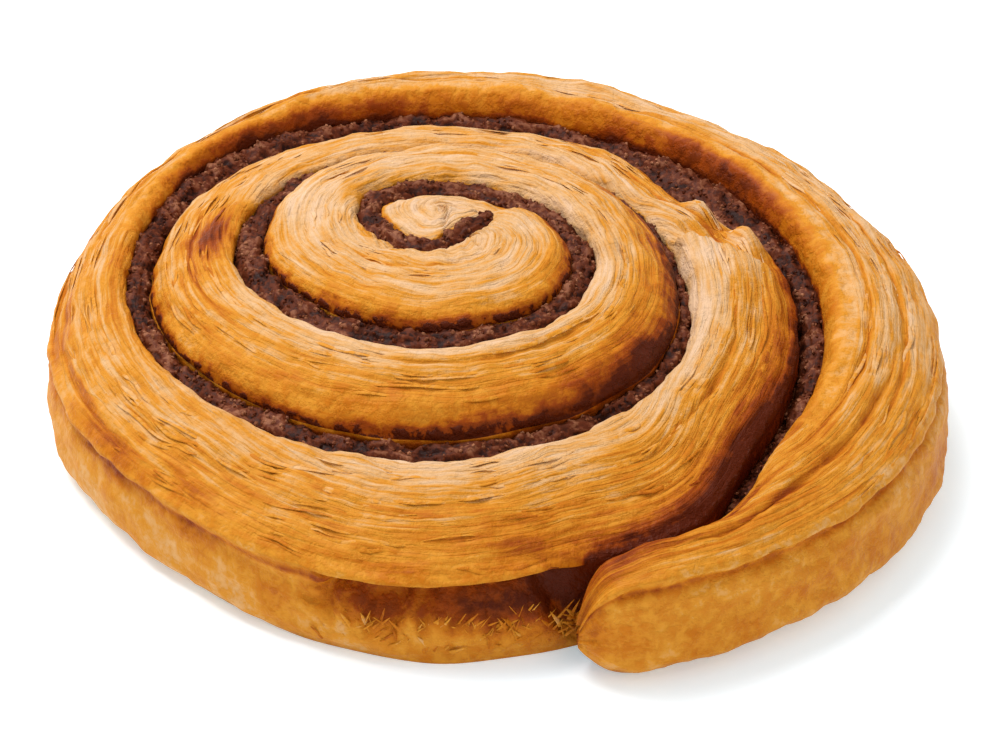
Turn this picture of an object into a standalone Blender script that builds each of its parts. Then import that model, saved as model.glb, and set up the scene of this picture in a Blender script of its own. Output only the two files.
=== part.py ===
"""A cinnamon danish: one strip of laminated dough rolled into a coil, with a filling seam between its turns.

Everything is worked out from the seam, a flat spiral seen from above. Turns are counted clockwise from the
right-hand side (+X), so .25 is the front (-Y), .5 the left and .75 the back. The dough at turn t lies between
the seam one turn further in and the seam at t; past the end of the seam its outer side is the outline.
Lengths are in millimetres until the meshes are made.
"""

import math

import bmesh
import bpy
from mathutils import Vector, noise

# The seam and, after it, the outline: radii an eighth of a turn apart, one row for each turn.
FIRST_RADIUS_TURN = -0.125
SEAM_RADII = (
    8.9, 2.9, 2.1, 3.3, 6.1, 8.2, 13.4, 14.3,
    12.6, 16.0, 19.0, 20.8, 21.6, 24.8, 26.4, 27.2,
    27.6, 29.2, 35.4, 37.8, 36.8, 39.0, 42.6, 43.0,
    42.4, 45.8, 51.0, 57.2, 51.0, 51.3, 54.4, 57.6,
    58.8, 63.6, 67.0, 65.8, 65.8,
)
SEAM_START = -0.1
SEAM_END = 3.2
TAIL_END = SEAM_END + 1.0
CORE = Vector((0.0, 5.5))

# Heights and widths a quarter of a turn apart, from turn 0: the top of the filling, how far the dough stands
# above it on the inner and on the outer side of the seam, the width of the filling, and how much higher the
# filling is on its outer side than on its inner side.
FILLING_TOP = (27.0, 27.0, 26.6, 26.2, 25.6, 24.4, 23.8, 23.2, 21.2, 17.6, 17.4, 18.8, 16.2, 7.5, 7.5)
RISE_INSIDE = (1.2, 1.2, 1.4, 1.6, 2.2, 3.0, 2.0, 2.2, 2.4, 3.6, 1.8, 1.4, 2.4, 3.6, 3.6)
RISE_OUTSIDE = (1.2, 1.2, 1.2, 1.8, 1.6, 0.8, 1.0, 1.0, 1.2, 0.9, 1.6, 4.4, 4.2, 6.5, 6.5)
FILLING_WIDTH = (2.6, 2.9, 3.2, 2.8, 3.0, 3.4, 3.4, 2.0, 1.9, 3.6, 3.2, 3.6, 3.4, 1.8, 1.8)
FILLING_TILT = (0.0, -0.6, -0.6, 0.8, 0.0, -1.4, -1.0, 0.4, 0.0, -1.4, 0.4, 2.2, 1.6, 0.0, 0.0)

# The outer wall a quarter of a turn apart, from turn 3: the height and depth of its crease, the height of the
# rim above it and how far the base is set in below it.
OUTER_WALL_FROM = 3.0
CREASE_HEIGHT = (9.0, 6.6, 8.0, 13.0, 11.5, 8.5)
CREASE_DEPTH = (1.6, 2.6, 0.9, 0.7, 0.9, 1.3)
RIM_HEIGHT = (13.0, 10.5, 13.0, 21.2, 15.8, 12.0)
BASE_INSET = (2.4, 0.7, 2.0, 2.0, 3.0, 3.2)

# Torn flaps and folds on the top: turn and radius of the middle, half length along the coil, half width, height.
FLAPS = (
    (0.935, 34.5, 4.5, 2.6, 1.5),
    (0.968, 38.6, 5.5, 2.0, 1.7),
    (1.010, 38.0, 6.0, 2.2, 0.9),
    (0.700, 49.0, 9.0, 1.8, 0.9),
    (0.815, 49.5, 11.0, 1.6, -1.1),
    (0.540, 20.5, 5.0, 2.0, 0.7),
)

SHOULDER = 3.4
ARCH = 1.0
LAYER_RELIEF = 0.32
WAVE = 0.45
TAIL_ROUNDING = 8.0
TAIL_BLUNTNESS = 0.36
GAP = 0.3
SLOT_TAPER = 0.08
FILLING_START = SEAM_START + 0.02
FILLING_END = SEAM_END - 0.003
FILLING_GRAIN = 0.55

FIRST_TURN_STEPS = 34
STEP = 3.4
TOP_STEPS = 8

DOUGH_COLOUR = (0.62, 0.33, 0.10, 1.0)
FILLING_COLOUR = (0.075, 0.025, 0.016, 1.0)


def through(values, position):
    """The smooth curve through evenly spaced values, at a position counted in steps from the first."""
    last = len(values) - 1
    position = min(max(position, 0.0), last)
    i = min(int(position), last - 1)
    f = position - i
    before = values[max(i - 1, 0)]
    a = values[i]
    b = values[i + 1]
    after = values[min(i + 2, last)]
    bend = 2 * before - 5 * a + 4 * b - after
    return a + 0.5 * f * (b - before + f * (bend + f * (3 * (a - b) + after - before)))


def ramp(low, high, x):
    """0 below low, 1 above high, smooth in between."""
    f = min(max((x - low) / (high - low), 0.0), 1.0)
    return f * f * (3 - 2 * f)


def mix(a, b, share):
    return a + (b - a) * share


def radius(turn):
    return through(SEAM_RADII, (turn - FIRST_RADIUS_TURN) * 8)


def at_seam(values, turn):
    return through(values, max(turn, 0.0) * 4)


def at_outer_wall(values, turn):
    return through(values, (turn - OUTER_WALL_FROM) * 4)


def seam_point(turn):
    """The seam's place seen from above, from the middle of the coil."""
    angle = -2 * math.pi * turn
    return radius(turn) * Vector((math.cos(angle), math.sin(angle)))


def along(turn):
    """How fast the seam moves on with the turn, in mm a turn, and which way."""
    return (seam_point(turn + 0.004) - seam_point(turn - 0.004)) / 0.008


def outward(turn):
    """The level direction square to the seam, away from the middle."""
    way = along(turn)
    return Vector((-way.y, way.x)).normalized()


def opened(turn):
    """How far the slot between two turns of dough has opened: 0 at the seam's inner end, 1 further on."""
    return math.sqrt(ramp(SEAM_START, SEAM_START + SLOT_TAPER, turn))


def slot_half_width(turn):
    return opened(turn) * (0.5 * at_seam(FILLING_WIDTH, turn) + GAP)


def outline_share(turn):
    """0 where the outer side faces a slot, 1 where it is the outside of the pastry."""
    return ramp(SEAM_END, SEAM_END + 0.02, turn)


def inner_edge(turn):
    return seam_point(turn - 1) + outward(turn - 1) * slot_half_width(turn - 1)


def outer_edge(turn):
    return seam_point(turn) - outward(turn) * slot_half_width(turn) * (1 - outline_share(turn))


def shoulder(distance, reach):
    """1 at the edge of a turn, falling to 0 where its rounded shoulder ends."""
    f = 1 - min(distance / reach, 1.0)
    return 1 - math.sqrt(1 - f * f)


def unevenness(place):
    """The hand-made rise and fall of the top, with its flaps and folds."""
    height = WAVE * noise.noise(Vector((place.x * 0.09, place.y * 0.09, 7.0)))
    for turn, far, half_length, half_width, lift in FLAPS:
        angle = -2 * math.pi * turn
        out = Vector((math.cos(angle), math.sin(angle)))
        offset = place - far * out
        along_flap = offset.dot(Vector((-out.y, out.x))) / half_length
        across_flap = offset.dot(out) / half_width
        height += lift * math.exp(-along_flap ** 2 - across_flap ** 2)
    return height


def layers(turn, v):
    """Low ridges where the layers of the dough show, running along the coil."""
    place = seam_point(turn) * 0.05
    shift = 1.2 * noise.noise(Vector((place.x, place.y, 3.0 + 0.4 * v)))
    return LAYER_RELIEF * min(4 * min(v, 1 - v), 1.0) * math.cos(math.pi * (v * TOP_STEPS + 2 * shift))


def top_of(turn, inner, outer, inner_height):
    """The top of the dough at a turn, as (place, height) from its inner to its outer edge.

    inner_height is the height the section starts from, or None where it starts at a slot.
    """
    width = (outer - inner).length
    share = ramp(3, 12, width)
    outline = outline_share(turn)
    open_in = opened(turn - 1) if inner_height is None else 0.0
    open_out = opened(turn)
    low_in = at_seam(FILLING_TOP, turn - 1) - 0.9
    high_in = at_seam(FILLING_TOP, turn - 1) + at_seam(RISE_OUTSIDE, turn - 1)
    low_out = mix(at_seam(FILLING_TOP, turn) - 0.9, at_outer_wall(CREASE_HEIGHT, turn) + 1.0, outline)
    high_out = at_seam(FILLING_TOP, turn) + at_seam(RISE_INSIDE, turn)
    high_out = mix(high_out, at_outer_wall(RIM_HEIGHT, turn), outline)
    if inner_height is not None:
        high_in = inner_height
    reach_in = max(min(SHOULDER, 0.4 * width), 0.01)
    reach_out = max(min(SHOULDER * (1 + 0.5 * outline), 0.55 * width), 0.01)
    top = []
    for k in range(TOP_STEPS + 1):
        v = 0.5 - 0.5 * math.cos(math.pi * k / TOP_STEPS)
        place = inner.lerp(outer, v)
        z = mix(high_in, high_out, 0.5 * v + 0.5 * ramp(0, 1, v)) + share * ARCH * 4 * v * (1 - v)
        z -= (z - low_in) * open_in * shoulder(v * width, reach_in)
        z -= (z - low_out) * open_out * shoulder((1 - v) * width, reach_out)
        top.append((place, z + share * layers(turn, v) + unevenness(place)))
    return top


def outer_wall(turn, edge, across, low):
    """The outer side below the shoulder, from the top down, as (place, height)."""
    share = outline_share(turn)
    crease = at_outer_wall(CREASE_HEIGHT, turn)
    depth = at_outer_wall(CREASE_DEPTH, turn)
    slot = ((0.0, 0.5 * low), (0.0, 0.5 * low), (0.0, 0.5 * low), (0.0, 0.0), (0.0, 0.0))
    side = (
        (-depth, crease),
        (-0.4 * depth, 0.74 * crease),
        (0.0, 0.5 * crease),
        (-0.2, 0.22 * crease),
        (-at_outer_wall(BASE_INSET, turn), 0.0),
    )
    return [
        (edge + across * mix(a[0], b[0], share), mix(a[1], b[1], share))
        for a, b in zip(slot, side)
    ]


def tail_rounding(turn):
    """How much of its width and of its height the dough keeps as its end rounds off."""
    left = (TAIL_END - turn) * along(turn).length
    roundness = math.sqrt(1 - (1 - min(left / TAIL_ROUNDING, 1.0)) ** 2)
    return mix(TAIL_BLUNTNESS, 1.0, roundness), mix(0.74, 1.0, roundness)


class Shell:
    """A mesh under construction, in which points at the same place are one vertex."""

    def __init__(self):
        self.mesh = bmesh.new()
        self.made = {}

    def vertex(self, point):
        place, z = point
        key = (round(place.x, 4), round(place.y, 4), round(z, 4))
        if key not in self.made:
            self.made[key] = self.mesh.verts.new(Vector(key) * 0.001)
        return self.made[key]

    def face(self, *points):
        corners = []
        for point in points:
            vertex = self.vertex(point)
            if vertex not in corners:
                corners.append(vertex)
        if len(corners) > 2:
            self.mesh.faces.new(corners)

    def join(self, near, far):
        """The faces between two rows of points."""
        for i in range(len(near) - 1):
            self.face(near[i], near[i + 1], far[i + 1], far[i])

    def finish(self, name, colour, roughness):
        bmesh.ops.triangulate(self.mesh, faces=self.mesh.faces)
        bmesh.ops.recalc_face_normals(self.mesh, faces=self.mesh.faces)
        mesh = bpy.data.meshes.new(name)
        self.mesh.to_mesh(mesh)
        self.mesh.free()
        mesh.shade_smooth()
        material = bpy.data.materials.new(name)
        material.use_nodes = True
        shader = material.node_tree.nodes["Principled BSDF"]
        shader.inputs["Base Color"].default_value = colour
        shader.inputs["Roughness"].default_value = roughness
        mesh.materials.append(material)
        thing = bpy.data.objects.new(name, mesh)
        bpy.context.scene.collection.objects.link(thing)
        return thing


def turns_between(start, end):
    """Turns from start to end, spaced so that the edge advances by about one step each time."""
    turns = [start]
    while turns[-1] < end - 1e-6:
        turns.append(turns[-1] + min(STEP / along(turns[-1]).length, 1 / FIRST_TURN_STEPS))
    scale = (end - start) / (turns[-1] - start)
    return [start + (turn - start) * scale for turn in turns]


def make_dough():
    """The core's sections fan out from one point; the last of them start along the first, up to the slot."""
    shell = Shell()
    core_turns = [SEAM_START + k / FIRST_TURN_STEPS for k in range(FIRST_TURN_STEPS)]
    coil_turns = turns_between(SEAM_START + 1, SEAM_END)
    coil_turns += turns_between(SEAM_END, TAIL_END)[1:]
    core_height = FILLING_TOP[0] + RISE_INSIDE[0]
    first = top_of(SEAM_START, CORE, outer_edge(SEAM_START), core_height)
    tops = []
    outer_walls = []
    inner_walls = []
    for k, turn in enumerate(core_turns + coil_turns[:1]):
        start = first[max(0, k - FIRST_TURN_STEPS + TOP_STEPS)]
        top = top_of(turn, start[0], outer_edge(turn), start[1] - unevenness(start[0]))
        tops.append([start] + top[1:])
    tops[0] = first
    for turn in coil_turns[1:]:
        tops.append(top_of(turn, inner_edge(turn), outer_edge(turn), None))
    for turn, top in zip(core_turns + coil_turns, tops):
        across = (top[-1][0] - top[0][0]).normalized()
        wall = outer_wall(turn, top[-1][0], across, top[-1][1])
        section = top + wall
        keep_width, keep_height = tail_rounding(turn)
        middle = 0.5 * (top[0][0] + top[-1][0])
        section = [(middle + (place - middle) * keep_width, z * keep_height) for place, z in section]
        top[:] = section[: TOP_STEPS + 1]
        outer_walls.append(section[TOP_STEPS:])
        if turn >= SEAM_START + 1:
            place, z = top[0]
            inner_walls.append([(place, z), (place, 0.5 * z), (place, 0.0)])
    for rows in (tops, outer_walls, inner_walls):
        for near, far in zip(rows, rows[1:]):
            shell.join(near, far)
    shell.face(*tops[-1], *outer_walls[-1][1:], *reversed(inner_walls[-1][1:]))
    shell.face(*[wall[-1] for wall in outer_walls], *[wall[-1] for wall in reversed(inner_walls[1:])])
    return shell.finish("dough", DOUGH_COLOUR, 0.55)


def make_filling():
    """A strip standing in the slot, with a grainy, uneven top."""
    shell = Shell()
    rows = []
    for turn in turns_between(FILLING_START, FILLING_END):
        left = min(turn - FILLING_START, FILLING_END - turn) * along(turn).length
        roundness = math.sqrt(1 - (1 - min(left / 2.0, 1.0)) ** 2)
        half = (slot_half_width(turn) - GAP) * mix(0.6, 1.0, roundness)
        middle = seam_point(turn)
        side = outward(turn) * half
        top = at_seam(FILLING_TOP, turn) - 1.0 + roundness
        tilt = 0.5 * at_seam(FILLING_TILT, turn)
        grain = [
            FILLING_GRAIN * noise.noise(Vector((middle.x * 0.45, middle.y * 0.45, 1.7 * k)))
            for k in range(3)
        ]
        rows.append([
            (middle - side, GAP),
            (middle - side, 0.5 * top),
            (middle - side, top - tilt - 0.7 + grain[0]),
            (middle - side * 0.35, top - 0.35 * tilt + grain[1]),
            (middle + side * 0.35, top + 0.35 * tilt + grain[2]),
            (middle + side, top + tilt - 0.7 - grain[0]),
            (middle + side, 0.5 * top),
            (middle + side, GAP),
            (middle - side, GAP),
        ])
    for near, far in zip(rows, rows[1:]):
        shell.join(near, far)
    shell.face(*rows[0])
    shell.face(*rows[-1])
    return shell.finish("filling", FILLING_COLOUR, 0.4)


def centre_on_origin(things):
    """Moves the meshes so that their common box stands on the origin, centred."""
    points = [v.co for thing in things for v in thing.data.vertices]
    low = Vector([min(axis) for axis in zip(*points)])
    high = Vector([max(axis) for axis in zip(*points)])
    shift = Vector((-(low.x + high.x) / 2, -(low.y + high.y) / 2, -low.z))
    for thing in things:
        for v in thing.data.vertices:
            v.co += shift
    print("the middle of the coil is at", shift, "size", high - low)


def main():
    for thing in list(bpy.data.objects):
        bpy.data.objects.remove(thing)
    centre_on_origin([make_dough(), make_filling()])


main()
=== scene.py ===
import math
import random

import bpy
import numpy as np
from bpy.props import FloatProperty, FloatVectorProperty, IntProperty, PointerProperty
from bpy.types import Operator, Panel, PropertyGroup
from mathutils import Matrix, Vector, noise


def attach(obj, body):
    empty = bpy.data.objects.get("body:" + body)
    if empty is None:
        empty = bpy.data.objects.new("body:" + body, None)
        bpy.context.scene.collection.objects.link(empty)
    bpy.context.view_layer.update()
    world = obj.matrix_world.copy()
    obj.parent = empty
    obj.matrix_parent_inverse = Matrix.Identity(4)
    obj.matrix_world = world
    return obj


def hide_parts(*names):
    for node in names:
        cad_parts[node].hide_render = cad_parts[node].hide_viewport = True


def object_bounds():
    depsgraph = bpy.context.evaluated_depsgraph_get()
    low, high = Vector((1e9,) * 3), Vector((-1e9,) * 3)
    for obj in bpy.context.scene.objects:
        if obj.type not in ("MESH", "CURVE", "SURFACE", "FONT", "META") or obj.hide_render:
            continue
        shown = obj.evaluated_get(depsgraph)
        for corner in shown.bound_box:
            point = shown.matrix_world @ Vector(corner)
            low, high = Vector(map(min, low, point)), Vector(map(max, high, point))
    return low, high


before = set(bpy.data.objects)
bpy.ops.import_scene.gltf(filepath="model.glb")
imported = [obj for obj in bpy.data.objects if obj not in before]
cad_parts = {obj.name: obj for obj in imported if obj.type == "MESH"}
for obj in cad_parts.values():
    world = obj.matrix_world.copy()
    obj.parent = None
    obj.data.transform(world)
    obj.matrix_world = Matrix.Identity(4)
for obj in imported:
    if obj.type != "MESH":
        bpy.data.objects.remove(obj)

bl_info = {
    "name": "Cinnamon danish",
    "version": (1, 0, 0),
    "blender": (4, 5, 0),
    "location": "View3D > Sidebar > Danish",
    "description": "Makes a coiled cinnamon danish: flaky dough, a sugary filling seam and a studio",
    "category": "Add Mesh",
}

CAD_BOX = [list(corner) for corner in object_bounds()]

# The rule of the coil, which is that of the solids with small bends and wide places of its own. Turns are
# counted clockwise from the right, so .25 is the front, .5 the left and .75 the back. Lengths are in
# millimetres until the meshes are made.
COIL_MIDDLE = np.array((-6.19, 2.01))
FIRST_RADIUS_TURN = -0.125
SEAM_RADII = (
    7.6, 2.6, 2.1, 3.2, 5.3, 7.6, 12.8, 12.5,
    12.8, 16.4, 21.0, 23.0, 22.8, 24.9, 26.4, 27.2,
    27.6, 29.2, 35.4, 37.8, 36.8, 39.0, 42.6, 43.0,
    42.4, 45.8, 51.0, 57.2, 51.0, 51.3, 54.4, 57.6,
    58.8, 63.6, 67.0, 65.5, 64.8,
)
# Bends of the seam: turn, half length in turns, how far outward. Wide places of the slot: turn, half length,
# how far each side moves.
SEAM_BENDS = ((2.645, 0.055, 0.8), (2.908, 0.042, -2.0), (3.157, 0.030, 3.6))
WIDE_PLACES = ((2.645, 0.055, 0.8), (2.908, 0.042, 2.0))
SEAM_START = -0.1
SEAM_END = 3.2
TAIL_END = SEAM_END + 1.0085
CORE = np.array((0.0, 5.5))
FILLING_TOP = (27.0, 27.0, 26.6, 26.2, 25.6, 24.4, 23.8, 23.2, 21.2, 17.6, 17.4, 18.8, 16.2, 7.5, 7.5)
RISE_INSIDE = (0.5, 0.4, 0.3, 0.0, 1.8, 2.6, 2.0, 2.2, 2.4, 3.6, 1.8, 1.4, 2.4, 3.6, 3.6)
RISE_OUTSIDE = (0.9, 0.9, 0.9, 1.2, 1.6, 0.8, 1.0, 1.0, 1.2, 0.9, 1.6, 4.2, 4.2, 5.7, 5.7)
FILLING_WIDTH = (2.6, 2.8, 3.0, 3.4, 3.0, 3.4, 3.9, 1.6, 1.2, 3.4, 3.0, 3.4, 3.2, 1.8, 1.8)
FILLING_TILT = (0.0, -0.4, -0.4, 1.0, 0.0, -1.4, -1.0, 0.4, 0.0, -1.4, 1.2, 3.4, 2.6, 0.0, 0.0)
OUTER_WALL_FROM = 3.0
CREASE_HEIGHT = (14.0, 13.6, 10.4, 10.2, 10.2, 11.6, 13.0, 13.4, 12.6, 12.6, 13.6)
CREASE_DEPTH = (0.5, 0.5, 0.0, 0.5, 0.7, 0.6, 0.6, 0.7, 0.8, 0.6, 0.5)
CREASE_SPREAD = (0.0, 0.0, 0.3, 0.2, 0.1, 0.2, 0.4, 0.2, 0.1, 0.1, 0.1)
LIP_INSET = (0.0, 0.0, 0.0, 0.2, 0.4, 0.3, 0.2, 0.6, 1.0, 0.9, 0.7)
RIM_HEIGHT = (15.5, 14.4, 12.6, 12.6, 13.4, 18.0, 21.2, 19.4, 16.2, 15.2, 15.4)
RECESS_END = 3.291
RECESS_DEPTH = 3.0
BASE_INSET = (2.4, 0.9, 1.0, 2.6, 2.4, 2.0, 2.0, 2.4, 3.0, 4.6, 3.2)
BASE_WAVE = 0.6
BASE_WAVES_PER_TURN = 30.0
RAGGEDNESS = 2.0
RAGGED_PER_MM = 0.6
# Flaps and dents of the top: turn, distance from the coil's middle, half length, half width, height.
FLAPS = (
    (0.934, 36.0, 2.6, 1.9, 2.0),
    (0.966, 39.4, 3.4, 1.5, 2.2),
    (0.951, 37.6, 1.0, 2.2, -0.9),
    (1.012, 37.0, 6.0, 3.0, 0.9),
    (0.700, 49.0, 9.0, 1.8, 0.9),
    (0.815, 49.5, 11.0, 1.6, -1.1),
    (0.540, 20.5, 5.0, 2.0, 0.7),
)
SHOULDER = 3.4
ARCH = 1.0
WAVE = 0.45
TAIL_ROUNDING = 10.5
TAIL_BLUNTNESS = 0.36
TAIL_TIP_HEIGHT = 0.74
TAIL_DOME = 4.6
TAIL_MIDDLE_HEIGHT = 5.0
TAIL_LIFT = 2.8
TAIL_LIFT_REACH = 7.5
TAIL_LIFT_CURVE = 1.6
TAIL_LIFT_HEIGHT = 9.0
SLOT_TAPER = 0.08
FILLING_START = SEAM_START - 0.004
FILLING_END = SEAM_END - 0.010

# How finely the meshes follow the rule.
STATION_STEP = 1.25
RECESS_STATION_STEP = 0.75
TIP_STATION_STEP = 0.25
TOP_STEPS = 84
SLOT_STEPS = 12
SIDE_STEPS = 40
CORE_FAN_STEPS = 34
CORE_CUT_TURN = 0.56

# Where the crust's own relief and the filling differ from the plain solids.
SHOULDER_REACH = 2.5
EDGE_DROP = 0.35
FILLING_LIFT = (0.9, 0.8, 0.7, 0.5, 0.4, 0.5, 0.5, 0.4, 0.3, 0.4, 0.4, 0.5, 0.3, 0.2, 0.2)
FILLING_OVERHANG = 0.3
FILLING_END_WIDTH = 0.8
# The bare wall that stands above the filling on its inner side, a quarter of a turn apart from turn 0.
BARE_WALL = (
    -0.45, -0.45, -0.45, -0.45, 0.0, 0.3, -0.2, -0.35, 0.4,
    0.9, -0.2, -0.35, 1.5, 2.8, 2.8, 2.8, 2.8, 2.8, 2.8,
)
# How smooth the crust is near the outer seam of the band, where it bends down, from 0 to 1.
SMOOTH_BEND = (
    0.2, 0.3, 0.2, 0.1, 0.4, 0.6, 0.3, 0.1, 0.4,
    0.7, 0.4, 0.1, 0.2, 0.5, 0.2, 0.1, 0.1, 0.2, 0.2,
)
# The smooth inner roll of the outer ring: the turns of its ends, and the share of the ring's width it takes.
ROLL_START = 3.55
ROLL_END = 4.10
ROLL_SHARE = 0.34
# How much darker the crust is painted in a fold or in the crease: painted shade.
FOLD_SHADE = 0.22

# Long folds along the top: turns of both ends, shares of the width from the inner edge at even steps between
# them, depth, half width, and how much higher the outer side stands.
FOLDS = (
    (3.50, 3.80, (0.62, 0.50, 0.42, 0.40), 0.55, 0.50, 0.25),
    (3.46, 3.66, (0.80, 0.74, 0.66), 0.45, 0.45, -0.20),
    (3.80, 4.16, (0.34, 0.36, 0.40, 0.36, 0.30), 0.50, 0.50, 0.45),
    (3.90, 4.10, (0.62, 0.66, 0.70), 0.40, 0.45, -0.30),
    (4.02, 4.19, (0.62, 0.56, 0.50), 0.50, 0.45, -0.25),
    (4.12, 4.20, (0.22, 0.26, 0.30), 0.45, 0.40, 0.20),
    (3.38, 3.52, (0.86, 0.80, 0.84), 0.50, 0.50, -0.30),
    (3.46, 3.60, (0.94, 0.90, 0.92), 0.45, 0.45, -0.20),
    (2.76, 3.04, (0.62, 0.52, 0.50), 0.35, 0.45, 0.25),
    (3.02, 3.16, (0.40, 0.44, 0.42), 0.30, 0.40, -0.20),
    (2.10, 2.32, (0.30, 0.34, 0.30), 0.25, 0.40, -0.20),
    (2.40, 2.62, (0.46, 0.52, 0.50), 0.30, 0.40, 0.20),
    (1.56, 1.80, (0.52, 0.56, 0.50), 0.25, 0.40, 0.20),
    (1.20, 1.44, (0.34, 0.40, 0.42), 0.22, 0.40, -0.15),
)
# Torn ends of layers across the band: turn, how much later it comes at the outer edge, shares of the width
# where it starts and ends, height, and over how much of a turn the layer sinks back.
TORN_ENDS = (
    (2.972, 0.030, 0.04, 0.84, 2.0, 0.05),
    (2.946, 0.016, 0.20, 0.75, -0.9, 0.02),
    (3.930, 0.030, 0.70, 1.00, 0.5, 0.03),
    (3.870, 0.020, 0.76, 1.00, 0.5, 0.03),
)

# How brown the crust is, from 0, pale, to 1, nearly black, a quarter of a turn apart from turn 0: on the
# middle of the band, near its outer and inner seams with how far in each reaches, and on both walls.
BAKE_MIDDLE = (
    0.12, 0.16, 0.12, 0.12, 0.20, 0.24, 0.20, 0.16, 0.30,
    0.34, 0.32, 0.20, 0.30, 0.36, 0.26, 0.20, 0.24, 0.64, 0.60,
)
# At turn 3.0, beside the deep slot before the tail, the outer edge is darker partly as painted shadow of the
# slot, over the syrup's brown.
BAKE_OUTER_EDGE = (
    0.28, 0.30, 0.24, 0.24, 0.48, 0.46, 0.34, 0.25, 0.60,
    0.52, 0.36, 0.25, 0.58, 0.46, 0.35, 0.36, 0.34, 0.44, 0.48,
)
OUTER_EDGE_REACH = (
    1.5, 1.5, 1.5, 1.5, 3.0, 3.4, 2.5, 2.0, 4.5,
    5.0, 3.5, 2.5, 4.5, 6.0, 4.0, 4.0, 3.0, 5.0, 5.0,
)
BAKE_INNER_EDGE = (
    0.22, 0.22, 0.26, 0.34, 0.22, 0.12, 0.30, 0.34, 0.12,
    0.10, 0.24, 0.20, 0.18, 0.12, 0.42, 0.58, 0.48, 0.50, 0.56,
)
# How far the syrup of the outer seam soaks into the band.
SYRUP_REACH = (
    0.8, 0.8, 1.0, 1.0, 1.4, 1.0, 1.0, 1.0, 2.6,
    0.9, 0.8, 1.0, 1.3, 1.6, 1.6, 2.0, 2.0, 2.0, 2.0,
)
INNER_EDGE_REACH = (
    2.4, 2.4, 2.4, 2.4, 2.4, 4.0, 2.4, 2.4, 3.0,
    4.5, 3.0, 2.4, 3.4, 5.5, 3.0, 2.6, 2.6, 2.6, 2.6,
)
BAKE_INNER_WALL = (
    0.50, 0.50, 0.50, 0.50, 0.50, 0.50, 0.55, 0.62, 0.55,
    0.50, 0.50, 0.55, 0.50, 0.50, 0.70, 0.92, 0.84, 0.82, 0.80,
)
# At turn 3.0 the outer wall down into the deep slot before the tail is darker partly as painted shadow of the
# slot, over the syrup's brown.
BAKE_OUTER_WALL = (
    0.70, 0.72, 0.70, 0.60, 0.72, 0.76, 0.70, 0.60, 0.80,
    0.84, 0.66, 0.60, 0.98, 0.44, 0.38, 0.41, 0.39, 0.44, 0.46,
)

# How strongly the syrup stains the outer side of the seam inside the band, and how high it climbs there.
SYRUP_OUTSIDE = (
    0.5, 0.4, 0.5, 0.7, 0.5, 0.2, 0.5, 0.6, 0.4,
    0.2, 0.5, 0.7, 0.4, 0.2, 0.8, 1.8, 2.0, 1.1, 1.1,
)
SYRUP_CLIMB = (
    0.4, 0.4, 0.4, 0.8, 0.4, 0.3, 0.4, 0.4, 0.3,
    0.3, 0.4, 0.5, 0.4, 0.3, 0.9, 1.4, 0.9, 0.9, 1.0,
)

# Browner or paler places of the top: turn, share of the width from the inner edge, half sizes, how much.
TOP_PATCHES = (
    (2.522, 0.24, 0.034, 0.28, 0.58),
    (3.86, 0.22, 0.060, 0.20, 0.16),
    (2.14, 0.92, 0.050, 0.18, 0.26),
    # Painted shadow of the deep slot before the tail, over the syrup's brown.
    (3.128, 0.99, 0.058, 0.18, 0.74),
    (2.934, 0.78, 0.014, 0.25, -0.26),
    (2.966, 0.82, 0.014, 0.20, -0.30),
    # Painted shade in the dent between the flap's two lobes.
    (2.950, 0.68, 0.005, 0.22, 0.42),
    (2.922, 0.56, 0.012, 0.10, 0.16),
    (3.905, 0.07, 0.050, 0.11, 0.40),
    (3.660, 0.05, 0.060, 0.10, 0.36),
    (3.05, 0.15, 0.040, 0.20, -0.16),
    (1.55, 0.50, 0.080, 0.50, -0.08),
    (3.353, 0.84, 0.012, 0.08, 0.20),
    (3.405, 0.93, 0.030, 0.10, 0.30),
    (3.235, 0.70, 0.030, 0.25, 0.08),
    # Painted shade just before the raised edge of the torn layer.
    (2.958, 0.50, 0.010, 0.40, 0.10),
    (2.998, 0.42, 0.014, 0.35, -0.20),
    (4.190, 0.30, 0.020, 0.25, 0.16),
)
# The same for the outer side: turn, height, half sizes, how much.
SIDE_PATCHES = (
    # The first three patches darken the torn recess beside the tail's end, the slot's mouth and the deep slot
    # before it: painted shadow of the tail and the slot, over the crust's own brown.
    (3.232, 7.9, 0.040, 2.8, 0.46),
    (3.200, 10.5, 0.014, 5.5, 0.62),
    (3.130, 12.0, 0.045, 6.0, 0.32),
    (4.204, 7.0, 0.003, 6.0, 0.16),
    (3.278, 7.8, 0.016, 2.6, 0.27),
    (3.312, 6.0, 0.008, 3.0, 0.16),
    (3.350, 8.2, 0.012, 1.8, 0.14),
    (3.400, 9.2, 0.060, 0.8, 0.16),
    (3.520, 9.2, 0.080, 0.8, 0.14),
    (4.080, 7.0, 0.090, 2.0, 0.08),
)

# Where the torn shards start, over how much of a turn they stand, and how much they crowd near the start.
SHARDS_START = 3.203
SHARDS_LENGTH = 0.088
SHARDS_CROWDING = 1.15
# Where the camera aims, in metres from the coil's middle on the tray.
AIM = Vector((0.0069, -0.0102, 0.012))
FLOOR_HALF_WIDTH = 3.0


def through(values, position):
    """The smooth curve through evenly spaced values, at positions counted in steps from the first."""
    values = np.asarray(values, float)
    last = len(values) - 1
    position = np.clip(position, 0.0, last)
    i = np.minimum(position.astype(int), last - 1)
    f = position - i
    before = values[np.maximum(i - 1, 0)]
    a = values[i]
    b = values[i + 1]
    after = values[np.minimum(i + 2, last)]
    bend = 2 * before - 5 * a + 4 * b - after
    return a + 0.5 * f * (b - before + f * (bend + f * (3 * (a - b) + after - before)))


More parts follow.
